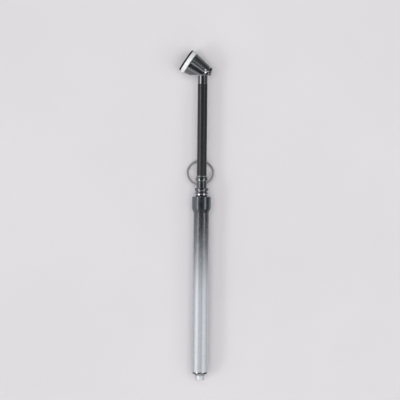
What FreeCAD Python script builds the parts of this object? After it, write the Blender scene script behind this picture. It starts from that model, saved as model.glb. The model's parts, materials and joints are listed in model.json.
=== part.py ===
"""Truck tyre pressure gauge of the sliding-bar kind, as an assembly of separate pieces.

The gauge lies along Y: the head is at the +Y end, and the scale bar slides out at the -Y end.
The origin is on the barrel's axis, halfway along its straight outside. Heights in the sheet are
counted from the barrel's open end, and every piece is moved back by ORIGIN when it is placed.
"""

import FreeCAD, Part
import math
import os
import re

import Sketcher

V = FreeCAD.Vector
Z_AXIS = V(0, 0, 1)
TINY = 1e-7
FAR = 40.0  # half the width of a cut that runs right through a piece

doc = FreeCAD.newDocument("tyre_pressure_gauge")

# ---------------------------------------------------------------- driving dimensions (mm, degrees)

SIZES = {
    # barrel and the nut over its top
    "barrel_od": 13.7,
    "barrel_bore": 12.0,
    "barrel_thread_od": 13.0,
    "barrel_len": 156.2,
    "barrel_round": 2.2,
    "lip_bore": 7.7,
    "lip_len": 2.2,
    "collar_od": 17.1,
    "collar_start": 146.1,
    "collar_full": 149.8,
    "collar_roof": 157.6,
    "collar_top": 161.1,
    "collar_edge": 0.6,
    "gasket_thick": 1.4,
    "gasket_clear": 0.4,
    # turned neck between the nut and the tube
    "shank_od": 10.0,
    "neck_gasket_od": 12.0,
    "neck_gasket_thick": 0.8,
    "bead_od": 12.2,
    "bead_bulge": 0.9,
    "bead_round": 4.2,
    "bead_top": 165.7,
    "flange_od": 12.6,
    "flange_top": 168.9,
    "flange_under": 1.3,
    "flange_under_len": 1.4,
    "flange_edge": 0.8,
    "flange_edge_len": 0.9,
    "waist_od": 9.4,
    "waist_top": 174.95,
    "flare_od": 11.0,
    "flare_top_od": 9.5,
    "neck_top": 180.3,
    "air_bore": 1.6,
    "air_shift": 1.6,
    # extension tube, and the spigots and seals at its ends
    "tube_od": 8.8,
    "tube_bore": 7.0,
    "tube_top": 263.0,
    "spigot_len": 8.0,
    "seal_start": 3.6,
    "seal_cord": 1.0,
    # head
    "sleeve_od": 8.8,
    "head_base": 270.8,
    "head_thread_od": 5.6,
    "head_thread_len": 3.4,
    "foot_tilt": 56.5,
    "foot_cross": 274.4,
    "foot_reach": 18.8,
    "head_front_od": 20.6,
    "head_nose": 8.0,
    "head_nose_centre": 0.75,
    "head_taper": 9.0,
    "casting_round": 0.5,
    "head_groove_od": 18.4,
    "groove_len": 0.4,
    "socket_od": 12.0,
    "passage": 3.4,
    "skirt_od": 16.0,
    "skirt_bore": 13.8,
    "skirt_len": 1.9,
    "foot_disc_od": 23.0,
    "foot_disc_len": 3.7,
    "foot_disc_edge": 0.4,
    "seal_lip_od": 21.4,
    "seal_lip_len": 1.6,
    "seal_edge": 0.5,
    "seal_neck_od": 12.0,
    "seal_bore": 8.4,
    "seal_bore_len": 4.4,
    "seal_hole": 4.4,
    "seal_len": 7.4,
    "pin_od": 2.0,
    "pin_plate_od": 6.0,
    "pin_plate_len": 0.8,
    "pin_tail": 2.4,
    "vent_od": 0.9,
    "vent_circle": 3.9,
    # screw plug at the back of the head
    "plug_tilt": 104.0,
    "plug_cross": 276.0,
    "plug_seat": 5.6,
    "plug_od": 7.5,
    "plug_head": 2.0,
    "plug_thread_od": 4.0,
    "plug_thread_start": 3.5,
    "plug_washer": 0.5,
    "slot_width": 0.9,
    # hanging ring, two flat turns of wire
    "ring_radius": 11.4,
    "ring_band": 1.7,
    "ring_wire": 0.75,
    "ring_pitch": 0.8,
    "ring_turns": 1.95,
    "ring_tilt": 20.0,
    "ring_lean": 6.5,
    "ring_seam": 140.0,
    "ring_drop": 0.2,
    "ring_hole": 3.2,
    "ring_hole_back": 1.6,
    "ring_hole_place": 172.15,
    "ring_hole_straight": 1.5,
    "ring_hole_mouth": 5.2,
    # piston and its cup
    "spring_guide_od": 7.8,
    "spring_guide_len": 3.5,
    "piston_start": 146.0,
    "piston_od": 11.4,
    "piston_flange": 2.5,
    "piston_hub_od": 4.0,
    "cup_floor": 1.2,
    "cup_od": 11.9,
    "cup_wall": 1.1,
    "cup_lip": 2.8,
    "cup_washer_od": 8.6,
    "cup_washer": 0.8,
    "screw_od": 2.5,
    "screw_len": 8.0,
    "screw_head_od": 4.8,
    "screw_head": 1.8,
    # range spring and the guide at the open end
    "wire": 1.4,
    "spring_mean": 9.6,
    "spring_turns": 28.0,
    "bush_len": 8.0,
    "bar_hole": 5.3,
    "spring_washer": 1.0,
    "drag_depth": 1.5,
    "drag_width": 3.2,
    "drag_len": 6.4,
    "drag_leaf": 0.3,
    "drag_bow": 4.5,
    # scale bar and its knob
    "bar_side": 5.0,
    "bar_gap": 0.1,
    "bar_head_od": 7.4,
    "bar_head_len": 3.0,
    "bar_in_knob": 3.4,
    "knob_od": 8.2,
    "knob_len": 4.3,
    "knob_gap": 0.6,
    "knob_edge": 0.5,
    "knob_bevel": 0.3,
    "knob_bevel_len": 0.7,
}

ORIGIN = "( barrel_round + collar_start ) / 2"

sheet = doc.addObject("Spreadsheet::Sheet", "sizes")
for row, (alias, size) in enumerate(SIZES.items(), start=1):
    sheet.set(f"A{row}", alias)
    sheet.set(f"B{row}", str(size))
    sheet.setAlias(f"B{row}", alias)
doc.recompute()


def value(expression):
    """The number that an expression of sheet aliases gives, in mm or degrees."""
    found = sheet.evalExpression(in_sheet(expression))
    return float(getattr(found, "Value", found))


def in_sheet(expression):
    """The expression with each alias written as sizes.alias, as another object has to name it."""
    return re.sub(r"[a-z_]+", lambda word: f"sizes.{word[0]}" if word[0] in SIZES else word[0], expression)


# ---------------------------------------------------------------- sketches and features

volumes = {}  # each body's volume after its last feature



def new_body(label):
    body = doc.addObject("PartDesign::Body", label)
    body.Label = label
    place(body)
    return body


def place(body, along="0", angle="0"):
    """Put the body's own Y axis at a height along the gauge, turned about Z."""
    height = f"{along} - {ORIGIN}"
    body.Placement = FreeCAD.Placement(V(0, value(height), 0), FreeCAD.Rotation(Z_AXIS, value(angle)))
    body.setExpression("Placement.Base.y", in_sheet(height))
    if angle != "0":
        body.setExpression("Placement.Rotation.Angle", in_sheet(angle))


def new_sketch(body, name, plane="XY_Plane", shift=("0", "0", "0"), turn="0"):
    """A sketch on one of the body's own planes, shifted and turned within that plane."""
    sketch = body.newObject("Sketcher::SketchObject", f"{body.Name}_{name}")
    origin_plane = [f for f in body.Origin.OriginFeatures if f.Role == plane][0]
    sketch.AttachmentSupport = [(origin_plane, "")]
    sketch.MapMode = "FlatFace"
    place = V(*(value(part) for part in shift))
    sketch.AttachmentOffset = FreeCAD.Placement(place, FreeCAD.Rotation(Z_AXIS, value(turn)))
    for axis, part in zip("xyz", shift):
        if part != "0":
            sketch.setExpression(f"AttachmentOffset.Base.{axis}", in_sheet(part))
    if turn != "0":
        sketch.setExpression("AttachmentOffset.Rotation.Angle", in_sheet(turn))
    return sketch


def bind(sketch, kind, *where, size):
    """Add a constraint whose size is an expression of the sheet."""
    index = sketch.addConstraint(Sketcher.Constraint(kind, *where, value(size)))
    sketch.setExpression(f"Constraints[{index}]", in_sheet(size))


def pin_point(sketch, edge, end, x, y):
    """Hold one end of an edge at the place (x, y), given as expressions."""
    for kind, size, axis in (("DistanceX", x, -2), ("DistanceY", y, -1)):
        if abs(value(size)) < TINY:
            sketch.addConstraint(Sketcher.Constraint("PointOnObject", edge, end, axis))
        else:
            bind(sketch, kind, -1, 1, edge, end, size=size)


def arc_between(start, end, radius):
    """The short arc from start to end; a positive radius turns left, a negative one right."""
    middle = (start + end) * 0.5
    half = (end - start).Length / 2
    left = Z_AXIS.cross(end - start).normalize()
    side = math.copysign(1, radius)
    rise = abs(radius) - math.sqrt(radius * radius - half * half)
    return Part.Arc(start, middle - left * (side * rise), end)


def outline(sketch, points):
    """A closed outline. Each point is (x, y), or (x, y, radius) where an arc leaves it."""
    places = [V(value(p[0]), value(p[1]), 0) for p in points]
    count = len(points)
    for i, point in enumerate(points):
        start, end = places[i], places[(i + 1) % count]
        if len(point) == 3:
            sketch.addGeometry(arc_between(start, end, value(point[2])), False)
        else:
            sketch.addGeometry(Part.LineSegment(start, end), False)
    ends = []
    for i, point in enumerate(points):
        # an arc that turns right is stored the other way round, so its ends change places
        backwards = len(point) == 3 and value(point[2]) < 0
        ends.append((2, 1) if backwards else (1, 2))
    for i, point in enumerate(points):
        after = (i + 1) % count
        sketch.addConstraint(Sketcher.Constraint("Coincident", i, ends[i][1], after, ends[after][0]))
        pin_point(sketch, i, ends[i][0], point[0], point[1])
    for i, point in enumerate(points):
        if len(point) == 3:
            size = point[2] if value(point[2]) > 0 else f"0 - ( {point[2]} )"
            bind(sketch, "Radius", i, size=size)
    doc.recompute()


def turned(body, name, points, shift=("0", "0", "0"), turn="0", cut=False):
    """Turn an outline of (radius, height) points about the sketch's vertical axis."""
    sketch = new_sketch(body, name, shift=shift, turn=turn)
    outline(sketch, points)
    kind = "PartDesign::Groove" if cut else "PartDesign::Revolution"
    feature = body.newObject(kind, f"{body.Name}_{name}_turned")
    feature.Profile = sketch
    feature.ReferenceAxis = (sketch, ["V_Axis"])
    feature.Angle = 360
    finish_feature(body, feature, cut)
    return feature


def finish_feature(body, feature, cut):
    """Recompute, and stop if a cut took nothing away or an addition added nothing."""
    before = volumes.get(body.Name, 0.0)
    doc.recompute()
    after = feature.Shape.Volume
    if (after > before - TINY) if cut else (after < before + TINY):
        raise RuntimeError(f"{feature.Name} changed nothing: {before:.3f} to {after:.3f}")
    volumes[body.Name] = after


def lathe(label, *points):
    """A piece turned about the gauge's own axis from one outline."""
    body = new_body(label)
    turned(body, "outline", points)
    return body


def rod(inner, outer, low, high):
    """The outline of a tube or, with inner 0, a rod: inner and outer are diameters."""
    inside, outside = "0" if inner == "0" else f"( {inner} ) / 2", f"( {outer} ) / 2"
    return [(inside, low), (outside, low), (outside, high), (inside, high)]


def slab(body, name, half_x, half_z, low, high, cut=False, middle_x="0"):
    """A rectangular block or cut, across X and Z, from y = low to y = high."""
    sketch = new_sketch(body, name, "XZ_Plane", shift=("0", "0", f"0 - ( {high} )"))
    left, right = f"{middle_x} - {half_x}", f"{middle_x} + {half_x}"
    down = f"0 - {half_z}"
    outline(sketch, [(left, down), (right, down), (right, half_z), (left, half_z)])
    feature = body.newObject("PartDesign::Pocket" if cut else "PartDesign::Pad", f"{body.Name}_{name}_run")
    feature.Profile = sketch
    feature.setExpression("Length", in_sheet(f"{high} - ( {low} )"))
    feature.Reversed = cut
    finish_feature(body, feature, cut)
    return feature


def coil(label, outline_points, radius, turns, pitch):
    """A wire wound about the local Y axis; the outline is None for round wire."""
    body = new_body(label)
    sketch = new_sketch(body, "wire")
    if outline_points:
        outline(sketch, outline_points)
    else:
        sketch.addGeometry(Part.Circle(V(value(radius), 0, 0), Z_AXIS, value("wire / 2")), False)
        bind(sketch, "Radius", 0, size="wire / 2")
        pin_point(sketch, 0, 3, radius, "0")
        doc.recompute()
    winding = body.newObject("PartDesign::AdditiveHelix", f"{body.Name}_winding")
    winding.Profile = sketch
    winding.ReferenceAxis = (sketch, ["V_Axis"])
    winding.Mode = "pitch-turns-angle"
    winding.setExpression("Turns", in_sheet(turns))
    winding.setExpression("Pitch", in_sheet(pitch))
    finish_feature(body, winding, cut=False)
    return body


# ---------------------------------------------------------------- barrel end


def make_barrel():
    outer, bore, lip = "barrel_od / 2", "barrel_bore / 2", "lip_bore / 2"
    return lathe(
        "barrel",
        (lip, "0"),
        (f"{outer} - barrel_round", "0", "barrel_round"),
        (outer, "barrel_round"),
        (outer, "collar_start"),
        ("barrel_thread_od / 2", "collar_start"),
        ("barrel_thread_od / 2", "barrel_len"),
        (bore, "barrel_len"),
        (bore, "lip_len"),
        (lip, "lip_len"),
    )


def make_end_bush():
    """Guide for the scale bar, held behind the barrel's rolled lip, with a pocket for the drag leaf."""
    body = lathe("end_bush", *rod("0", "barrel_bore", "lip_len", "lip_len + bush_len"))
    slab(body, "bar_hole", "bar_hole / 2", "bar_hole / 2", "lip_len - 1", "lip_len + bush_len + 1", cut=True)
    slab(
        body,
        "leaf_pocket",
        "drag_depth / 2 + 0.1",
        "drag_width / 2",
        "lip_len + ( bush_len - drag_len ) / 2",
        "lip_len + ( bush_len + drag_len ) / 2",
        cut=True,
        middle_x="bar_hole / 2 + drag_depth / 2 - 0.1",
    )
    return body


def make_drag_leaf():
    """Bowed leaf that presses on one side of the bar, so that the bar stays where it was pushed."""
    body = new_body("drag_leaf")
    low = "lip_len + ( bush_len - drag_len ) / 2 + 0.1"
    high = "lip_len + ( bush_len + drag_len ) / 2 - 0.1"
    foot = "bar_hole / 2 + drag_depth - 0.05"
    sketch = new_sketch(body, "side", shift=("0", "0", "0 - ( drag_width / 2 - 0.15 )"))
    back, front = foot, f"{foot} - drag_leaf"
    outline(sketch, [(front, low), (back, low, "0 - drag_bow"), (back, high), (front, high, "drag_bow")])
    pad = body.newObject("PartDesign::Pad", "drag_leaf_width")
    pad.Profile = sketch
    pad.setExpression("Length", in_sheet("drag_width - 0.3"))
    finish_feature(body, pad, cut=False)
    return body


def make_spring_washer():
    start = "lip_len + bush_len"
    return lathe("spring_washer", *rod("spring_guide_od", "piston_od", start, f"{start} + spring_washer"))


def make_range_spring():
    """Calibrated spring between the washer and the piston."""
    low = "lip_len + bush_len + spring_washer + wire / 2"
    high = "piston_start + spring_guide_len - wire / 2"
    pitch = f"( {high} - ( {low} ) ) / spring_turns"
    body = coil("range_spring", None, "spring_mean / 2", "spring_turns", pitch)
    place(body, low)
    return body


def make_indicator_bar():
    end = "piston_start - bar_gap"
    body = new_body("indicator_bar")
    slab(body, "bar", "bar_side / 2", "bar_side / 2", "0 - bar_in_knob - knob_gap", f"{end} - bar_head_len")
    turned(body, "head", rod("0", "bar_head_od", f"{end} - bar_head_len", end))
    return body


def make_indicator_knob():
    low, high = "0 - knob_gap - knob_len", "0 - knob_gap"
    rim = "knob_od / 2"
    body = lathe(
        "indicator_knob",
        ("0", low),
        (f"{rim} - knob_edge", low, "knob_edge"),
        (rim, f"{low} + knob_edge"),
        (rim, f"{high} - knob_bevel_len"),
        (f"{rim} - knob_bevel", high),
        ("0", high),
    )
    slab(body, "socket", "bar_side / 2", "bar_side / 2", f"{high} - bar_in_knob", f"{high} + 1", cut=True)
    return body


# ---------------------------------------------------------------- piston


def make_piston():
    start = "piston_start"
    under = "piston_start + spring_guide_len"
    face = f"{under} + piston_flange"
    body = lathe(
        "piston",
        ("0", start),
        ("spring_guide_od / 2", start),
        ("spring_guide_od / 2", under),
        ("piston_od / 2", under),
        ("piston_od / 2", face),
        ("piston_hub_od / 2", face),
        ("piston_hub_od / 2", f"{face} + cup_floor"),
        ("0", f"{face} + cup_floor"),
    )
    top = f"{face} + cup_floor + cup_washer"
    turned(body, "screw_hole", rod("0", "screw_od", f"{top} - screw_len", top), cut=True)
    return body


def make_piston_cup():
    """Rubber cup: the pressure opens its lip against the barrel."""
    face = "piston_start + spring_guide_len + piston_flange"
    rim, hub = "cup_od / 2", "piston_hub_od / 2"
    return lathe(
        "piston_cup",
        (hub, face),
        (rim, face),
        (rim, f"{face} + cup_floor + cup_lip"),
        (f"{rim} - cup_wall * 0.5", f"{face} + cup_floor + cup_lip"),
        (f"{rim} - cup_wall", f"{face} + cup_floor"),
        (hub, f"{face} + cup_floor"),
    )


def make_cup_washer():
    low = "piston_start + spring_guide_len + piston_flange + cup_floor"
    return lathe("cup_washer", *rod("screw_od", "cup_washer_od", low, f"{low} + cup_washer"))


def make_piston_screw():
    seat = "piston_start + spring_guide_len + piston_flange + cup_floor + cup_washer"
    body = lathe(
        "piston_screw",
        ("0", f"{seat} - screw_len"),
        ("screw_od / 2", f"{seat} - screw_len"),
        ("screw_od / 2", seat),
        ("screw_head_od / 2", seat),
        ("screw_head_od / 2", f"{seat} + screw_head - 0.5", "0.9"),
        ("screw_head_od / 2 - 0.7", f"{seat} + screw_head"),
        ("0", f"{seat} + screw_head"),
    )
    top = f"{seat} + screw_head"
    slab(body, "slot", "screw_head_od", "slot_width / 2", f"{top} - slot_width", f"{top} + 1", cut=True)
    return body


# ---------------------------------------------------------------- collar and neck


def make_collar():
    """Nut that closes the barrel's top and carries the neck."""
    rim, thread = "collar_od / 2", "barrel_thread_od / 2"
    return lathe(
        "collar",
        (thread, "collar_start"),
        ("barrel_od / 2 + 0.1", "collar_start"),
        (rim, "collar_full"),
        (rim, "collar_top - collar_edge"),
        (f"{rim} - collar_edge", "collar_top"),
        ("neck_gasket_od / 2", "collar_top"),
        ("neck_gasket_od / 2", "collar_top - neck_gasket_thick"),
        ("shank_od / 2", "collar_top - neck_gasket_thick"),
        ("shank_od / 2", "collar_roof"),
        (thread, "collar_roof"),
    )


def make_barrel_gasket():
    top = "barrel_len + gasket_thick"
    return lathe("barrel_gasket", *rod("shank_od + 2 * gasket_clear", "barrel_thread_od", "barrel_len", top))


def make_neck_gasket():
    low = "collar_top - neck_gasket_thick"
    return lathe("neck_gasket", *rod("shank_od", "neck_gasket_od", low, "collar_top"))


def seal_groove(body, name, spigot_start, sign):
    """Groove for an O-ring in a spigot that points along +Y (sign +) or -Y (sign -)."""
    low = f"{spigot_start} {sign} seal_start"
    high = f"{low} {sign} seal_cord * 1.3"
    ends = (low, high) if sign == "+" else (high, low)
    turned(body, name, rod("tube_bore - seal_cord * 2", "tube_bore + 1", *ends), cut=True)


def make_neck():
    """Turned neck: threaded shank, bead, flange, waist with the ring's cross hole, flare and spigot."""
    body = lathe(
        "neck_fitting",
        ("0", "collar_roof"),
        ("shank_od / 2", "collar_roof"),
        ("shank_od / 2", "collar_top"),
        ("bead_od / 2 - bead_bulge", "collar_top", "bead_round"),
        ("bead_od / 2 - bead_bulge", "bead_top"),
        ("flange_od / 2 - flange_under", "bead_top", "1.7"),
        ("flange_od / 2", "bead_top + flange_under_len"),
        ("flange_od / 2", "flange_top - flange_edge_len", "1.1"),
        ("flange_od / 2 - flange_edge", "flange_top"),
        ("waist_od / 2", "flange_top"),
        ("waist_od / 2", "waist_top"),
        ("flare_od / 2 - 0.6", "waist_top", "0.9"),
        ("flare_od / 2", "waist_top + 0.8"),
        ("flare_od / 2", "waist_top + 1.4", "5.5"),
        ("flare_top_od / 2", "neck_top - 1.2", "1.4"),
        ("tube_od / 2", "neck_top"),
        ("tube_bore / 2", "neck_top"),
        ("tube_bore / 2", "neck_top + spigot_len"),
        ("0", "neck_top + spigot_len"),
    )
    top = "neck_top + spigot_len + 1"
    drilling = rod("0", "air_bore", "collar_roof - 1", top)
    turned(body, "air_hole", drilling, shift=("0", "0", "air_shift"), cut=True)
    mouth, throat = "ring_hole_mouth / 2", "ring_hole / 2"
    turned(
        body,
        "ring_hole",
        [
            ("0", "0 - waist_od / 2 - 1"),
            (mouth, "0 - waist_od / 2 - 1"),
            (mouth, "0 - waist_od / 2"),
            (throat, "0 - ring_hole_straight"),
            (throat, "ring_hole_straight"),
            (mouth, "waist_od / 2"),
            (mouth, "waist_od / 2 + 1"),
            ("0", "waist_od / 2 + 1"),
        ],
        shift=("0", "ring_hole_place", "0 - ring_hole_back"),
        turn="0 - 90",
        cut=True,
    )
    seal_groove(body, "seal_groove", "neck_top", "+")
    return body


def make_hang_ring():
    """Split ring of two flat turns, passed through the neck's cross hole and lying back."""
    inner, outer = "ring_radius - ring_band / 2", "ring_radius + ring_band / 2"
    half = "ring_wire / 2"
    wire = [(inner, f"0 - {half}"), (outer, f"0 - {half}"), (outer, half), (inner, half)]
    body = coil("hang_ring", wire, "ring_radius", "ring_turns", "ring_pitch")
    # the two turns are centred on the hole, a part of a turn after the first end
    layer = value("ring_pitch") * (0.5 + hole_turn())
    spin = FreeCAD.Rotation(V(0, 1, 0), value("ring_seam"))
    centred = FreeCAD.Placement(V(0, -layer, 0), spin)
    # stand the ring's axis up, move the ring so that its rim crosses the hole, lean it, tilt it back
    upright = FreeCAD.Placement(V(0, value("ring_radius - ring_drop"), 0), FreeCAD.Rotation(V(1, 0, 0), 90))
    lean = FreeCAD.Placement(V(0, 0, 0), FreeCAD.Rotation(Z_AXIS, value("ring_lean")))
    tilt = FreeCAD.Placement(V(0, 0, 0), FreeCAD.Rotation(V(1, 0, 0), -value("ring_tilt")))
    height = value(f"ring_hole_place - {ORIGIN}")
    hole = FreeCAD.Placement(V(0, height, -value("ring_hole_back")), FreeCAD.Rotation())
    body.setExpression("Placement.Base.y", None)
    body.Placement = hole * tilt * lean * upright * centred
    return body


def hole_turn():
    """How far round the first turn, as a part of a turn, the ring passes through its hole."""
    return ((270 - value("ring_seam")) % 360) / 360


def make_seal_ring(label, spigot_start, sign):
    """O-ring in a spigot's groove."""
    body = new_body(label)
    sketch = new_sketch(body, "cord")
    along = f"{spigot_start} {sign} seal_start {sign} seal_cord * 0.65"
    across = "tube_bore / 2 - seal_cord / 2"
    sketch.addGeometry(Part.Circle(V(value(across), value(along), 0), Z_AXIS, value("seal_cord / 2")), False)
    bind(sketch, "Radius", 0, size="seal_cord / 2")
    pin_point(sketch, 0, 3, across, along)
    doc.recompute()
    ring = body.newObject("PartDesign::Revolution", f"{label}_turned")
    ring.Profile = sketch
    ring.ReferenceAxis = (sketch, ["V_Axis"])
    ring.Angle = 360
    finish_feature(body, ring, cut=False)
    return body


def make_extension_tube():
    return lathe("extension_tube", *rod("tube_bore", "tube_od", "neck_top", "tube_top"))


def make_head_sleeve():
    """Plated sleeve: a spigot in the tube below, a thread in the head above."""
    foot, base = "tube_top - spigot_len", "head_base"
    body = lathe(
        "head_sleeve",
        ("air_bore * 0.8", foot),
        ("tube_bore / 2", foot),
        ("tube_bore / 2", "tube_top"),
        ("sleeve_od / 2", "tube_top"),
        ("sleeve_od / 2", base),
        ("head_thread_od / 2", base),
        ("head_thread_od / 2", f"{base} + head_thread_len"),
        ("air_bore * 0.8", f"{base} + head_thread_len"),
    )
    seal_groove(body, "seal_groove", "tube_top", "-")
    return body


# ---------------------------------------------------------------- head

FOOT = {"shift": ("0", "foot_cross", "0"), "turn": "foot_tilt"}
PLUG = {"shift": ("0", "plug_cross", "0"), "turn": "0 - plug_tilt"}
DISC_FACE = "foot_reach - seal_lip_len"
HEAD_FACE = f"{DISC_FACE} - foot_disc_len"
SEAL_FLOOR = "foot_reach - seal_len"


def make_head_body():
    """Cast head: a tapering nose on the foot's axis, with a flat base and a flat seat for the plug."""
    body = new_body("head_body")
    groove = f"{HEAD_FACE} - groove_len"
    turned(
        body,
        "nose",
        [
            ("0", "head_nose_centre - head_nose", "head_nose"),
            ("head_nose * cos(head_taper)", "head_nose_centre - head_nose * sin(head_taper)"),
            ("head_front_od / 2", groove),
            ("head_groove_od / 2", groove),
            ("head_groove_od / 2", HEAD_FACE),
            ("0", HEAD_FACE),
        ],
        **FOOT,
    )
    turned(body, "stem_socket", rod("0", "socket_od", "head_base - 1", "plug_cross - 1"))
    wide = "head_front_od"
    slab(body, "base_cut", wide, wide, f"head_base - {wide}", "head_base", cut=True)
    beyond = "plug_seat + head_front_od"
    turned(body, "plug_face", rod("0", "head_front_od * 2", "plug_seat", beyond), cut=True, **PLUG)
    round_edges(body, "casting_edges", "casting_round", on_casting_flats)
    turned(body, "seal_pocket", rod("0", "skirt_od", SEAL_FLOOR, "foot_reach"), cut=True, **FOOT)
    plate_floor = f"{SEAL_FLOOR} - pin_plate_len"
    turned(body, "pin_pocket", rod("0", "pin_plate_od", plate_floor, "foot_reach"), cut=True, **FOOT)
    turned(body, "foot_passage", rod("0", "passage", "0", "foot_reach"), cut=True, **FOOT)
    stem_top = "head_base + head_thread_len"
    turned(body, "stem_hole", rod("0", "head_thread_od", "head_base - 1", stem_top), cut=True)
    turned(body, "plug_hole", rod("0", "plug_thread_od", "passage / 2", beyond), cut=True, **PLUG)
    return body


def on_casting_flats(edge):
    """Whether an edge lies in the head's flat base or in the face that the plug seats on."""
    points = [edge.valueAt(edge.getParameterByLength(edge.Length * part)) for part in (0, 0.3, 0.7, 1)]
    tilt = math.radians(value("plug_tilt"))
    along = V(math.sin(tilt), math.cos(tilt), 0)
    centre = V(0, value("plug_cross"), 0)
    at_base = all(abs(p.y - value("head_base")) < 1e-4 for p in points)
    at_plug = all(abs((p - centre).dot(along) - value("plug_seat")) < 1e-4 for p in points)
    return at_base or at_plug


def round_edges(body, name, radius, chosen):
    """Round the edges of the body's last shape that chosen() picks."""
    base = body.Tip
    names = [f"Edge{i}" for i, edge in enumerate(base.Shape.Edges, start=1) if chosen(edge)]
    fillet = body.newObject("PartDesign::Fillet", f"{body.Name}_{name}")
    fillet.Base = (base, names)
    fillet.setExpression("Radius", in_sheet(radius))
    finish_feature(body, fillet, cut=True)


def make_foot_flange():
    """Ring that screws into the head's face and holds the seal."""
    rim, edge = "foot_disc_od / 2", "foot_disc_edge"
    body = lathe(
        "foot_flange",
        ("skirt_bore / 2", f"{HEAD_FACE} - skirt_len"),
        ("skirt_od / 2", f"{HEAD_FACE} - skirt_len"),
        ("skirt_od / 2", HEAD_FACE),
        (f"{rim} - {edge}", HEAD_FACE),
        (rim, f"{HEAD_FACE} + {edge}"),
        (rim, f"{DISC_FACE} - {edge}"),
        (f"{rim} - {edge}", DISC_FACE),
        ("seal_neck_od / 2", DISC_FACE),
        ("seal_neck_od / 2", HEAD_FACE),
        ("skirt_bore / 2", HEAD_FACE),
    )
    place(body, "foot_cross", "foot_tilt")
    return body


def make_foot_seal():
    """Rubber seal, with a lip in front of the flange and one behind it."""
    step = "foot_reach - seal_bore_len"
    body = lathe(
        "foot_seal",
        ("seal_hole / 2", SEAL_FLOOR),
        ("skirt_bore / 2", SEAL_FLOOR),
        ("skirt_bore / 2", HEAD_FACE),
        ("seal_neck_od / 2", HEAD_FACE),
        ("seal_neck_od / 2", DISC_FACE),
        ("seal_lip_od / 2", DISC_FACE),
        ("seal_lip_od / 2", "foot_reach - seal_edge", "0.8"),
        ("seal_lip_od / 2 - seal_edge", "foot_reach"),
        ("seal_bore / 2 + seal_edge", "foot_reach"),
        ("seal_bore / 2", "foot_reach - seal_edge"),
        ("seal_bore / 2", step),
        ("seal_hole / 2", step),
    )
    place(body, "foot_cross", "foot_tilt")
    return body


def make_depressor():
    """Pin that opens the tyre's valve, on a plate with four vents."""
    plate_low, plate_high = f"{SEAL_FLOOR} - pin_plate_len", SEAL_FLOOR
    tip = "foot_reach - seal_bore_len - 0.1"
    body = lathe(
        "depressor_pin",
        ("0", f"{plate_low} - pin_tail"),
        ("pin_od / 2", f"{plate_low} - pin_tail"),
        ("pin_od / 2", plate_low),
        ("pin_plate_od / 2", plate_low),
        ("pin_plate_od / 2", plate_high),
        ("pin_od / 2", plate_high),
        ("pin_od / 2", f"{tip} - 0.5", "0.7"),
        ("pin_od / 2 - 0.4", tip),
        ("0", tip),
    )
    sketch = new_sketch(body, "vent", "XZ_Plane", shift=("0", "0", f"0 - ( {plate_high} + 0.1 )"))
    centre = value("vent_circle / 2")
    sketch.addGeometry(Part.Circle(V(centre, 0, 0), Z_AXIS, value("vent_od / 2")), False)
    bind(sketch, "Radius", 0, size="vent_od / 2")
    pin_point(sketch, 0, 3, "vent_circle / 2", "0")
    doc.recompute()
    vent = body.newObject("PartDesign::Pocket", "vent_hole")
    vent.Profile = sketch
    vent.Reversed = True
    vent.setExpression("Length", in_sheet("pin_plate_len + 0.2"))
    finish_feature(body, vent, cut=True)
    ring = body.newObject("PartDesign::PolarPattern", "vent_ring")
    ring.Originals = [vent]
    ring.Axis = ([f for f in body.Origin.OriginFeatures if f.Role == "Y_Axis"][0], [""])
    ring.Occurrences = 4
    ring.Angle = 360
    body.Tip = ring
    finish_feature(body, ring, cut=True)
    place(body, "foot_cross", "foot_tilt")
    return body


def make_rear_plug():
    """Screw plug that closes the drilling at the back of the head."""
    seat = "plug_seat + plug_washer"
    rim, top = "plug_od / 2", f"{seat} + plug_head"
    body = lathe(
        "rear_plug",
        ("0", "plug_thread_start"),
        ("plug_thread_od / 2", "plug_thread_start"),
        ("plug_thread_od / 2", seat),
        (rim, seat),
        (rim, f"{top} - 0.5", "0.6"),
        (f"{rim} - 0.5", top),
        ("0", top),
    )
    slab(body, "slot", "plug_od", "slot_width / 2", f"{top} - slot_width", f"{top} + 1", cut=True)
    place(body, "plug_cross", "0 - plug_tilt")
    return body


def make_plug_washer():
    outline_points = rod("plug_thread_od", "plug_od - 0.3", "plug_seat", "plug_seat + plug_washer")
    body = lathe("plug_washer", *outline_points)
    place(body, "plug_cross", "0 - plug_tilt")
    return body


# ---------------------------------------------------------------- assembly

PIECES = [
    make_barrel(),
    make_end_bush(),
    make_drag_leaf(),
    make_spring_washer(),
    make_range_spring(),
    make_indicator_bar(),
    make_indicator_knob(),
    make_piston(),
    make_piston_cup(),
    make_cup_washer(),
    make_piston_screw(),
    make_collar(),
    make_barrel_gasket(),
    make_neck_gasket(),
    make_neck(),
    make_hang_ring(),
    make_seal_ring("lower_tube_seal", "neck_top", "+"),
    make_extension_tube(),
    make_seal_ring("upper_tube_seal", "tube_top", "-"),
    make_head_sleeve(),
    make_head_body(),
    make_foot_flange(),
    make_foot_seal(),
    make_depressor(),
    make_rear_plug(),
    make_plug_washer(),
]
doc.recompute()

for item in doc.Objects:
    if {"Invalid", "Error"} & set(item.State):
        raise RuntimeError(f"{item.Name} failed: {item.State}")

for piece in PIECES:
    shape = piece.Shape
    if shape.isNull() or not shape.isValid() or len(shape.Solids) != 1:
        raise RuntimeError(f"{piece.Label} has a bad shape: {len(shape.Solids)} solids")

os.makedirs("parts", exist_ok=True)
for piece in PIECES:
    piece.Shape.exportStep(f"parts/{piece.Label}.step")
    print(f"{piece.Label:18s} {piece.Shape.Volume:9.2f} mm3")
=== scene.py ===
"""Tyre pressure gauge: materials, detailed pieces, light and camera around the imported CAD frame."""

import json
import math

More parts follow.
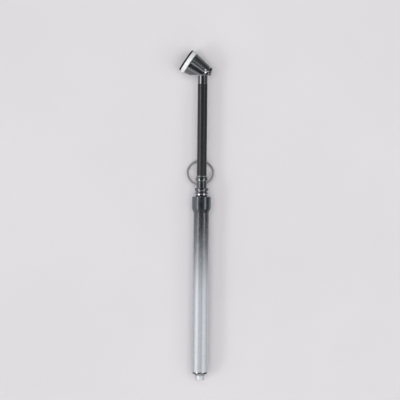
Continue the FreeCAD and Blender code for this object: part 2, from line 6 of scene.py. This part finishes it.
import bmesh
import bpy
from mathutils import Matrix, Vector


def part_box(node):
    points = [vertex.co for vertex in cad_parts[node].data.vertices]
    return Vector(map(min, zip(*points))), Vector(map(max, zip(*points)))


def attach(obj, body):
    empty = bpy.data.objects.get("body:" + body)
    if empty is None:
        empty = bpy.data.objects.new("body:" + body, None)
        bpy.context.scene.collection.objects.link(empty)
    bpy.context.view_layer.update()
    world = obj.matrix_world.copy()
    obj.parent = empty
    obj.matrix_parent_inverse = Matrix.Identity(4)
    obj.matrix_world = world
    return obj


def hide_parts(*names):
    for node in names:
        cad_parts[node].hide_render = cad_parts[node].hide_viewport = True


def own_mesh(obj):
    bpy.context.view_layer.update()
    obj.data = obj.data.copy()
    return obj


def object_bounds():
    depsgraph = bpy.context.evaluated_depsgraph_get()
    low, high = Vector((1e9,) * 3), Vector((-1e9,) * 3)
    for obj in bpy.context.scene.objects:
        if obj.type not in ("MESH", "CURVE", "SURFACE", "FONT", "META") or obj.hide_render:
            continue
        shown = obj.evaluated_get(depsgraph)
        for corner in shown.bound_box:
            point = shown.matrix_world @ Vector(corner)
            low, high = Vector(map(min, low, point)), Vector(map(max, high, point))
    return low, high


MM = 0.001
NOISE_ROUGHNESS = 0.55
BEVEL_SAMPLES = 6
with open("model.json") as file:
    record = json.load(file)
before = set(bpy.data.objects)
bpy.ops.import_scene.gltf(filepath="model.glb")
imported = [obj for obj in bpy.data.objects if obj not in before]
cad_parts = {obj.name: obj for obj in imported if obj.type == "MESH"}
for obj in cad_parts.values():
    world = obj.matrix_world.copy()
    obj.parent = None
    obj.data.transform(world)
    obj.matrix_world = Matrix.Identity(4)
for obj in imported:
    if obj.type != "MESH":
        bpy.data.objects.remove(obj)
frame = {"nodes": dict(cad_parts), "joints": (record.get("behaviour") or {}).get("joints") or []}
cad_low, cad_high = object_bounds()
joints = {joint["name"]: joint for joint in frame["joints"]}
BAR_TRAVEL = joints["bar_slide"]["range_m"][1]


def link(obj):
    bpy.context.scene.collection.objects.link(obj)
    return obj


# ---------------------------------------------------------------- node helpers


def combine(tree, operation, a, b):
    """A Math node of two inputs, each a socket or a number."""
    made = tree.nodes.new("ShaderNodeMath")
    made.operation = operation
    for socket, source in zip(made.inputs, (a, b)):
        if isinstance(source, (int, float)):
            socket.default_value = source
        else:
            tree.links.new(source, socket)
    return made.outputs["Value"]


class Shader:
    """One node-based material around a Principled BSDF."""

    def __init__(self, name, **inputs):
        self.material = bpy.data.materials.new(name)
        self.material.use_nodes = True
        self.tree = self.material.node_tree
        self.surface = self.tree.nodes["Principled BSDF"]
        for key, setting in inputs.items():
            self.surface.inputs[key.replace("_", " ")].default_value = setting
        self.place = self.node("ShaderNodeTexCoord").outputs["Object"]

    def node(self, kind, **settings):
        made = self.tree.nodes.new(kind)
        for key, setting in settings.items():
            setattr(made, key, setting)
        return made

    def join(self, start, end):
        self.tree.links.new(start, end)

    def stretched(self, scale):
        """The object's coordinates, scaled along each axis."""
        mapping = self.node("ShaderNodeMapping")
        mapping.inputs["Scale"].default_value = scale
        self.join(self.place, mapping.inputs["Vector"])
        return mapping.outputs["Vector"]

    def noise(self, scale, detail=4.0, stretch=(1, 1, 1)):
        made = self.node("ShaderNodeTexNoise")
        made.inputs["Scale"].default_value = scale
        made.inputs["Detail"].default_value = detail
        made.inputs["Roughness"].default_value = NOISE_ROUGHNESS
        self.join(self.stretched(stretch), made.inputs["Vector"])
        return made.outputs["Fac"]

    def ramp(self, source, stops):
        """Map a 0 to 1 value through (position, colour) stops."""
        made = self.node("ShaderNodeValToRGB")
        while len(made.color_ramp.elements) < len(stops):
            made.color_ramp.elements.new(0.5)
        for element, (position, colour) in zip(made.color_ramp.elements, stops):
            element.position = position
            element.color = (*colour, 1)
        self.join(source, made.inputs["Fac"])
        return made.outputs["Color"]

    def spread(self, source, low, high, from_low=0.0, from_high=1.0):
        """Map a value to the range low to high."""
        made = self.node("ShaderNodeMapRange")
        made.inputs["From Min"].default_value = from_low
        made.inputs["From Max"].default_value = from_high
        made.inputs["To Min"].default_value = low
        made.inputs["To Max"].default_value = high
        self.join(source, made.inputs["Value"])
        return made.outputs["Result"]

    def bump(self, height, strength, distance, under=None):
        made = self.node("ShaderNodeBump")
        made.inputs["Strength"].default_value = strength
        made.inputs["Distance"].default_value = distance
        self.join(height, made.inputs["Height"])
        if under is not None:
            self.join(under, made.inputs["Normal"])
        self.join(made.outputs["Normal"], self.surface.inputs["Normal"])
        return made.outputs["Normal"]

    def soft_edge(self, radius):
        """A normal that rounds the sharp edges of the solid a little."""
        made = self.node("ShaderNodeBevel", samples=BEVEL_SAMPLES)
        made.inputs["Radius"].default_value = radius
        return made.outputs["Normal"]

    def set(self, name, source):
        self.join(source, self.surface.inputs[name])


# ---------------------------------------------------------------- materials


WAVE_PITCH = 0.314  # the distance between a Wave texture's bands at a scale of 1


def turned_chrome(name, colour, rough, ring_pitch=0.35 * MM, ring_depth=0.012 * MM, cloud=0.05):
    """Plated metal that was turned on a lathe: faint rings along Y, light scratches, cloudy polish."""
    shader = Shader(name, Metallic=1.0)
    cloudy = shader.noise(260.0, detail=3.0)
    shader.set("Base Color", shader.ramp(cloudy, [(0.3, [c * 0.94 for c in colour]), (0.7, colour)]))
    polish = shader.spread(cloudy, rough - cloud, rough + cloud, 0.3, 0.7)
    scratch = shader.noise(1500.0, detail=2.0, stretch=(1, 0.04, 1))
    scratched = shader.spread(scratch, 0.0, 0.05, 0.58, 0.75)
    shader.set("Roughness", combine(shader.tree, "ADD", polish, scratched))
    rings = shader.node("ShaderNodeTexWave", wave_type="BANDS", bands_direction="Y", wave_profile="SIN")
    rings.inputs["Scale"].default_value = WAVE_PITCH / ring_pitch
    rings.inputs["Distortion"].default_value = 1.5
    rings.inputs["Detail"].default_value = 2.0
    shader.join(shader.place, rings.inputs["Vector"])
    rounded = shader.soft_edge(0.12 * MM)
    grooved = shader.bump(rings.outputs["Fac"], 0.25, ring_depth, under=rounded)
    shader.bump(scratch, 0.12, 0.01 * MM, under=grooved)
    return shader.material


def cast_chrome(name, colour, rough):
    """Plated casting: a slightly uneven polished surface with fine pits."""
    shader = Shader(name, Metallic=1.0)
    cloudy = shader.noise(220.0, detail=4.0)
    shader.set("Base Color", shader.ramp(cloudy, [(0.3, [c * 0.93 for c in colour]), (0.7, colour)]))
    shader.set("Roughness", shader.spread(cloudy, rough * 0.7, rough * 1.4, 0.3, 0.7))
    uneven = shader.bump(shader.noise(120.0, detail=2.0), 0.35, 0.10 * MM, under=shader.soft_edge(0.2 * MM))
    pits = shader.noise(2600.0, detail=2.0)
    shader.bump(shader.spread(pits, 0.0, 1.0, 0.62, 0.72), 0.15, 0.015 * MM, under=uneven)
    return shader.material


def black_paint(name):
    """Semi-gloss paint with orange peel."""
    shader = Shader(name, IOR=1.9, Coat_Weight=0.5, Coat_Roughness=0.12)
    tone = shader.noise(420.0, detail=4.0)
    shader.set("Base Color", shader.ramp(tone, [(0.3, (0.009, 0.009, 0.012)), (0.7, (0.013, 0.013, 0.017))]))
    shader.set("Roughness", shader.spread(shader.noise(700.0), 0.16, 0.26, 0.3, 0.7))
    shader.bump(shader.noise(1400.0, detail=2.0), 0.2, 0.012 * MM, under=shader.soft_edge(0.1 * MM))
    return shader.material


def rubber(name, tone=0.018):
    """Dusty moulded rubber."""
    shader = Shader(name, Specular_IOR_Level=0.35)
    dust = shader.noise(300.0, detail=6.0)
    dark, light = (tone,) * 3, (tone * 1.9, tone * 1.9, tone * 1.85)
    shader.set("Base Color", shader.ramp(dust, [(0.35, dark), (0.75, light)]))
    shader.set("Roughness", shader.spread(dust, 0.6, 0.85, 0.3, 0.7))
    shader.bump(shader.noise(2200.0, detail=4.0), 0.5, 0.04 * MM, under=shader.soft_edge(0.15 * MM))
    return shader.material


def nylon(name):
    """White nylon with faint lines along Y, as drawn through a die."""
    shader = Shader(name, Subsurface_Weight=0.15, Subsurface_Scale=0.8 * MM)
    tone = shader.noise(160.0, detail=4.0)
    shader.set("Base Color", shader.ramp(tone, [(0.3, (0.80, 0.79, 0.74)), (0.7, (0.86, 0.85, 0.81))]))
    drawn = shader.noise(900.0, detail=3.0, stretch=(1, 0.03, 1))
    shader.set("Roughness", shader.spread(drawn, 0.34, 0.52, 0.35, 0.65))
    shader.bump(drawn, 0.3, 0.012 * MM, under=shader.soft_edge(0.12 * MM))
    return shader.material


def plain_metal(name, colour, rough):
    """Unplated metal with a fine even grain."""
    shader = Shader(name, Metallic=1.0)
    tone = shader.noise(500.0, detail=4.0)
    shader.set("Base Color", shader.ramp(tone, [(0.3, [c * 0.85 for c in colour]), (0.7, colour)]))
    shader.set("Roughness", shader.spread(tone, rough * 0.75, rough * 1.3, 0.3, 0.7))
    shader.bump(shader.noise(1800.0), 0.2, 0.015 * MM, under=shader.soft_edge(0.08 * MM))
    return shader.material


def satin(name, colour, metal):
    """Blasted bright alloy: a pale skin that scatters much of the light."""
    shader = Shader(name, Metallic=metal, Specular_IOR_Level=0.5)
    tone = shader.noise(350.0, detail=4.0)
    shader.set("Base Color", shader.ramp(tone, [(0.3, [c * 0.95 for c in colour]), (0.7, colour)]))
    shader.set("Roughness", shader.spread(tone, 0.38, 0.50, 0.3, 0.7))
    shader.bump(shader.noise(3000.0, detail=3.0), 0.3, 0.012 * MM, under=shader.soft_edge(0.12 * MM))
    return shader.material


def fibre(name):
    """Dark pressed fibre."""
    shader = Shader(name, Roughness=0.8)
    strands = shader.noise(900.0, detail=6.0, stretch=(1, 0.3, 1))
    dark, light = (0.030, 0.029, 0.028), (0.065, 0.062, 0.058)
    shader.set("Base Color", shader.ramp(strands, [(0.3, dark), (0.7, light)]))
    shader.bump(strands, 0.5, 0.05 * MM)
    return shader.material


def ink(name):
    """Black printing ink, a little uneven."""
    shader = Shader(name, Roughness=0.55)
    worn = shader.noise(2500.0, detail=3.0)
    shader.set("Base Color", shader.ramp(worn, [(0.35, (0.01, 0.01, 0.012)), (0.8, (0.05, 0.05, 0.055))]))
    return shader.material


CHROME = (0.56, 0.575, 0.60)
MATERIALS = {
    "barrel": turned_chrome(
        "barrel_chrome", CHROME, 0.07, ring_pitch=0.5 * MM, ring_depth=0.0015 * MM, cloud=0.02
    ),
    "collar": turned_chrome("collar_chrome", (0.54, 0.58, 0.62), 0.06, ring_depth=0.003 * MM, cloud=0.02),
    "neck_fitting": turned_chrome("neck_chrome", CHROME, 0.06, ring_depth=0.003 * MM, cloud=0.02),
    "head_sleeve": turned_chrome("sleeve_chrome", CHROME, 0.08, ring_depth=0.003 * MM, cloud=0.02),
    "head_body": cast_chrome("head_chrome", (0.50, 0.51, 0.54), 0.18),
    # The foot flange is bright metal. Its near-white, nearly unmetallic colour is partly painted highlight,
    # standing in for its specular reflection.
    "foot_flange": satin("flange_satin_painted_highlight", (0.97, 0.97, 0.98), 0.08),
    "extension_tube": black_paint("tube_paint"),
    "foot_seal": rubber("seal_rubber"),
    "piston_cup": rubber("cup_rubber", tone=0.022),
    "lower_tube_seal": rubber("o_ring_rubber", tone=0.015),
    "rear_plug": turned_chrome("plug_steel", (0.36, 0.37, 0.40), 0.24),
    "plug_washer": plain_metal("washer_alloy", (0.86, 0.87, 0.88), 0.28),
    "indicator_bar": nylon("bar_nylon"),
    "indicator_knob": satin("knob_satin", (0.86, 0.87, 0.90), 0.5),
    "hang_ring": satin("ring_nickel", (0.70, 0.69, 0.71), 0.7),
    "piston": plain_metal("piston_brass", (0.76, 0.57, 0.26), 0.24),
    "range_spring": plain_metal("spring_steel", (0.50, 0.51, 0.54), 0.26),
    "barrel_gasket": fibre("gasket_fibre"),
}
SAME_AS = {
    "upper_tube_seal": "lower_tube_seal",
    "neck_gasket": "barrel_gasket",
    "cup_washer": "piston",
    "piston_screw": "piston",
    "depressor_pin": "piston",
    "end_bush": "piston",
    "spring_washer": "range_spring",
    "drag_leaf": "range_spring",
}


def paint(piece, material):
    piece.data.materials.clear()
    piece.data.materials.append(material)


for node, piece in frame["nodes"].items():
    paint(piece, MATERIALS[SAME_AS.get(node, node)])

# ---------------------------------------------------------------- spring, with closed ends


SPRING_WIRE = 1.4 * MM
SPRING_CLOSED_TURNS = 1.5  # at each end
SPRING_OPEN_TURNS = 25
SPRING_STEPS = 24  # points in a turn


def spring_piece():
    """The calibrated spring with closed end turns, built at one length. In the real gauge it shortens as the
    bar slides out.
    """
    low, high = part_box("range_spring")
    wire = SPRING_WIRE / 2
    radius = high.x - wire
    start, end = low.y + wire, high.y - wire
    closed_turns, open_turns, steps = SPRING_CLOSED_TURNS, SPRING_OPEN_TURNS, SPRING_STEPS
    closed_rise = closed_turns * 2 * wire
    turns = 2 * closed_turns + open_turns
    curve = bpy.data.curves.new("range_spring_wire", "CURVE")
    curve.dimensions = "3D"
    curve.bevel_depth = wire
    curve.bevel_resolution = 3
    curve.use_fill_caps = True
    count = int(turns * steps) + 1
    line = curve.splines.new("POLY")
    line.points.add(count - 1)
    open_rise = end - start - 2 * closed_rise
    for i, point in enumerate(line.points):
        turn = i / steps
        rise = 2 * wire * min(turn, closed_turns)
        rise += open_rise * min(max(turn - closed_turns, 0), open_turns) / open_turns
        rise += 2 * wire * max(turn - closed_turns - open_turns, 0)
        angle = 2 * math.pi * turn
        point.co = (radius * math.cos(angle), start + rise, -radius * math.sin(angle), 1)
    coil = link(bpy.data.objects.new("range_spring_coil", curve))
    depsgraph = bpy.context.evaluated_depsgraph_get()
    mesh = bpy.data.meshes.new_from_object(coil.evaluated_get(depsgraph))
    bpy.data.objects.remove(coil)
    piece = link(bpy.data.objects.new("range_spring_wire", mesh))
    for face in mesh.polygons:
        face.use_smooth = True
    paint(piece, MATERIALS["range_spring"])
    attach(piece, "gauge")
    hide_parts("range_spring")
    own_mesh(piece)


spring_piece()

# ---------------------------------------------------------------- printed scale on the bar


INK_PROUD = 0.02 * MM
INK_SUNK = 0.05 * MM
LINE_THICK = 0.22 * MM
LINE_INSET = 0.25 * MM
LONG_LINE, SHORT_LINE = 2.0 * MM, 1.2 * MM
NUMBER_SIZE = 2.1 * MM
NUMBER_PLACE = 1.0 * MM
SMALL = 1e-6
BAR_HALF = 2.5 * MM
barrel_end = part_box("barrel")[0].y
# Each side of the bar: where a point of the top face goes, how its numbers are turned, the reading
# at full travel (psi on one side, bar on the other), the numbered readings and the lines.
SIDES = {
    "top": (lambda x, y, z: (x, y, z), (0, 0, 0), 150, 10, 5),
    "bottom": (lambda x, y, z: (-x, y, -z), (0, math.pi, 0), 10.34, 1, 0.5),
}


def tick(mesh_data, x, y, width, side):
    """One printed line across the bar, as a thin box on the face that side names."""
    points, faces = mesh_data
    first = len(points)
    for across in (x, x + width):
        for along in (y - LINE_THICK / 2, y + LINE_THICK / 2):
            for height in (BAR_HALF - INK_SUNK, BAR_HALF + INK_PROUD):
                points.append(side(across, along, height))
    for corners in ((0, 1, 3, 2), (4, 6, 7, 5), (0, 4, 5, 1), (2, 3, 7, 6), (1, 5, 7, 3), (0, 2, 6, 4)):
        faces.append([first + corner for corner in corners])


def scale_print(face):
    """Lines and numbers of one scale. The lines count from the edge of the barrel's open end."""
    side, turn, most, numbered, step = SIDES[face]
    points, faces = [], []
    reading = step
    while reading <= most + SMALL:
        y = barrel_end + BAR_TRAVEL * reading / most
        is_numbered = abs(reading / numbered - round(reading / numbered)) < SMALL
        width = LONG_LINE if is_numbered else SHORT_LINE
        tick((points, faces), LINE_INSET - BAR_HALF, y, width, side)
        if is_numbered:
            number(face, side, turn, reading, y)
        reading += step
    mesh = bpy.data.meshes.new(f"scale_lines_{face}")
    mesh.from_pydata(points, [], faces)
    lines = link(bpy.data.objects.new(f"scale_lines_{face}", mesh))
    paint(lines, INK)
    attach(lines, "bar")


def number(face, side, turn, reading, y):
    """One printed number, read with the bar's outer end to the left."""
    words = bpy.data.curves.new(f"number_{face}_{reading:g}", "FONT")
    words.body = f"{reading:g}"
    words.size = NUMBER_SIZE
    words.extrude = INK_PROUD
    words.align_x = "CENTER"
    words.align_y = "CENTER"
    words.resolution_u = 3
    piece = link(bpy.data.objects.new(f"number_{face}_{reading:g}", words))
    piece.location = side(NUMBER_PLACE, y, BAR_HALF)
    piece.rotation_euler = turn
    piece.data.materials.append(INK)
    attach(piece, "bar")


INK = ink("scale_ink")
for name in SIDES:
    scale_print(name)

# ---------------------------------------------------------------- floor, light and camera


FLOOR_HALF = 6.0
WALL_RADIUS, WALL_HEIGHT, WALL_SIDES = 5.5, 11.0, 24
WALL_COLOUR = (0.80, 0.78, 0.795, 1)
PANEL_COLOUR = (0.96, 0.975, 1.0, 1)
LAMP_SIZE, LAMP_WATTS, LAMP_HEIGHT = 3.0, 52.0, 2.6
WIDTH_SEEN = 0.3624
CAMERA_HEIGHT = 1.5
CAMERA_ACROSS, CAMERA_ALONG = -0.00135, 0.0838
CAMERA_ROLL = math.radians(0.573)
SENSOR = 36.0


def floor_piece():
    """A plain pale floor under the gauge."""
    mesh = bpy.data.meshes.new("floor")
    corners = [(x * FLOOR_HALF, y * FLOOR_HALF, 0) for x, y in ((-1, -1), (1, -1), (1, 1), (-1, 1))]
    mesh.from_pydata(corners, [], [(0, 1, 2, 3)])
    floor = link(bpy.data.objects.new("floor", mesh))
    floor.location.z = cad_low.z
    shader = Shader("floor_card", Roughness=0.75)
    tone = shader.noise(6.0, detail=3.0)
    dark, light = (0.76, 0.735, 0.755), (0.79, 0.765, 0.785)
    shader.set("Base Color", shader.ramp(tone, [(0.3, dark), (0.7, light)]))
    floor.data.materials.append(shader.material)
    floor.visible_glossy = False


def backdrop_piece():
    """A plain pale wall all round that only the camera sees, so that no view shows the studio's panels."""
    mesh = bpy.data.meshes.new("backdrop")
    wall = bmesh.new()
    bmesh.ops.create_cone(
        wall,
        cap_ends=True,
        segments=WALL_SIDES,
        radius1=WALL_RADIUS,
        radius2=WALL_RADIUS,
        depth=WALL_HEIGHT,
    )
    wall.to_mesh(mesh)
    wall.free()
    backdrop = link(bpy.data.objects.new("backdrop", mesh))
    shader = Shader(
        "backdrop_card",
        Base_Color=(0, 0, 0, 1),
        Specular_IOR_Level=0.0,
        Emission_Color=WALL_COLOUR,
        Emission_Strength=1.0,
    )
    backdrop.data.materials.append(shader.material)
    backdrop.visible_diffuse = False
    backdrop.visible_glossy = False
    backdrop.visible_transmission = False
    backdrop.visible_shadow = False


def gather(tree, source, stops, low, high):
    """Map a value from low to high through (value, share) stops. The shares may be over 1."""
    spread = tree.nodes.new("ShaderNodeMapRange")
    spread.inputs["From Min"].default_value = low
    spread.inputs["From Max"].default_value = high
    tree.links.new(source, spread.inputs["Value"])
    ramp = tree.nodes.new("ShaderNodeValToRGB")
    most = max(share for _, share in stops)
    while len(ramp.color_ramp.elements) < len(stops):
        ramp.color_ramp.elements.new(0.5)
    for element, (value, share) in zip(ramp.color_ramp.elements, stops):
        element.position = (value - low) / (high - low)
        element.color = (share / most,) * 3 + (1,)
    tree.links.new(spread.outputs["Result"], ramp.inputs["Fac"])
    return combine(tree, "MULTIPLY", ramp.outputs["Color"], most)


# Each panel of the studio: radiance by the angle in degrees from straight up towards +X,
# and its share by the Y part of the direction. These values began as brightness read from the
# photograph of the gauge and were then changed, so they aren't plain studio light.
PANELS = {
    "room": (
        [(-180, 0.34), (-110, 0.26), (-85, 0.20), (-64, 0.27), (-48, 0.22), (-30, 0.09), (-12, 0.03)]
        + [(10, 0.03), (30, 0.08), (46, 0.14), (64, 0.07), (85, 0.04), (105, 0.12), (130, 0.26), (180, 0.34)],
        [(-1, 1), (1, 1)],
    ),
    "arch": (
        [(-180, 0.4), (-120, 0.45), (-84, 0.9), (-64, 1.15), (-46, 1.0), (-20, 0.84), (4, 0.82), (12, 0.73)]
        + [(18, 0.73), (27, 0.84), (48, 1.0), (66, 1.02), (84, 0.9), (120, 0.5), (180, 0.4)],
        [(-0.17, 0), (-0.125, 1.05), (-0.053, 1.05), (-0.042, 0.75), (-0.030, 0.25), (-0.016, 0)],
    ),
    "left strip": (
        [(-60, 0), (-54, 1), (-44, 1), (-38, 0)],
        [(-0.55, 0), (-0.45, 7), (-0.22, 7), (-0.16, 0), (-0.01, 0.1), (0.0, 0.3), (0.045, 0.8), (0.06, 1.3)]
        + [(0.08, 1.5), (0.3, 1.5), (0.35, 0)],
    ),
    "right strip": (
        [(34, 0), (42, 1), (54, 1), (60, 0)],
        [(-0.5, 0), (-0.4, 3), (-0.22, 3), (-0.16, 0), (-0.02, 0), (-0.01, 0.3), (0.005, 0.3)]
        + [(0.02, 0.12), (0.12, 0.14), (0.16, 1.7), (0.28, 1.5), (0.33, 0)],
    ),
    "front": (
        [(-70, 0), (-35, 0.3), (0, 0.35), (35, 0.8), (60, 0.5), (95, 0)],
        [(-1, 1), (-0.79, 1), (-0.73, 0), (1, 0)],
    ),
}


def studio():
    """Panels of light very far away, as the world, and a soft lamp overhead."""
    world = bpy.data.worlds.new("studio")
    bpy.context.scene.world = world
    world.use_nodes = True
    tree = world.node_tree
    direction = tree.nodes.new("ShaderNodeTexCoord").outputs["Generated"]
    split = tree.nodes.new("ShaderNodeSeparateXYZ")
    tree.links.new(direction, split.inputs[0])
    turn = combine(tree, "ARCTAN2", split.outputs["X"], split.outputs["Z"])
    total = 0.0
    for by_angle, by_slope in PANELS.values():
        stops = [(math.radians(angle), share) for angle, share in by_angle]
        across = gather(tree, turn, stops, -math.pi, math.pi)
        along = gather(tree, split.outputs["Y"], by_slope, -1, 1)
        total = combine(tree, "ADD", combine(tree, "MULTIPLY", across, along), total)
    panels = tree.nodes["Background"]
    panels.inputs["Color"].default_value = PANEL_COLOUR
    tree.links.new(total, panels.inputs["Strength"])
    lamp = bpy.data.lights.new("overhead", "AREA")
    lamp.shape = "DISK"
    lamp.size = LAMP_SIZE
    lamp.energy = LAMP_WATTS
    overhead = link(bpy.data.objects.new("overhead", lamp))
    overhead.location = (0, (cad_low.y + cad_high.y) / 2, LAMP_HEIGHT)
    overhead.visible_camera = False
    overhead.visible_glossy = False


def camera():
    """Straight down from far off, turned half a degree so that the gauge leans."""
    lens = bpy.data.cameras.new("camera")
    lens.sensor_width = SENSOR
    lens.lens = SENSOR * CAMERA_HEIGHT / WIDTH_SEEN
    view = link(bpy.data.objects.new("camera", lens))
    view.location = (CAMERA_ACROSS, CAMERA_ALONG, CAMERA_HEIGHT)
    view.rotation_euler = (0, 0, CAMERA_ROLL)
    bpy.context.scene.camera = view


floor_piece()
backdrop_piece()
studio()
camera()
bpy.context.scene.view_settings.view_transform = "Standard"
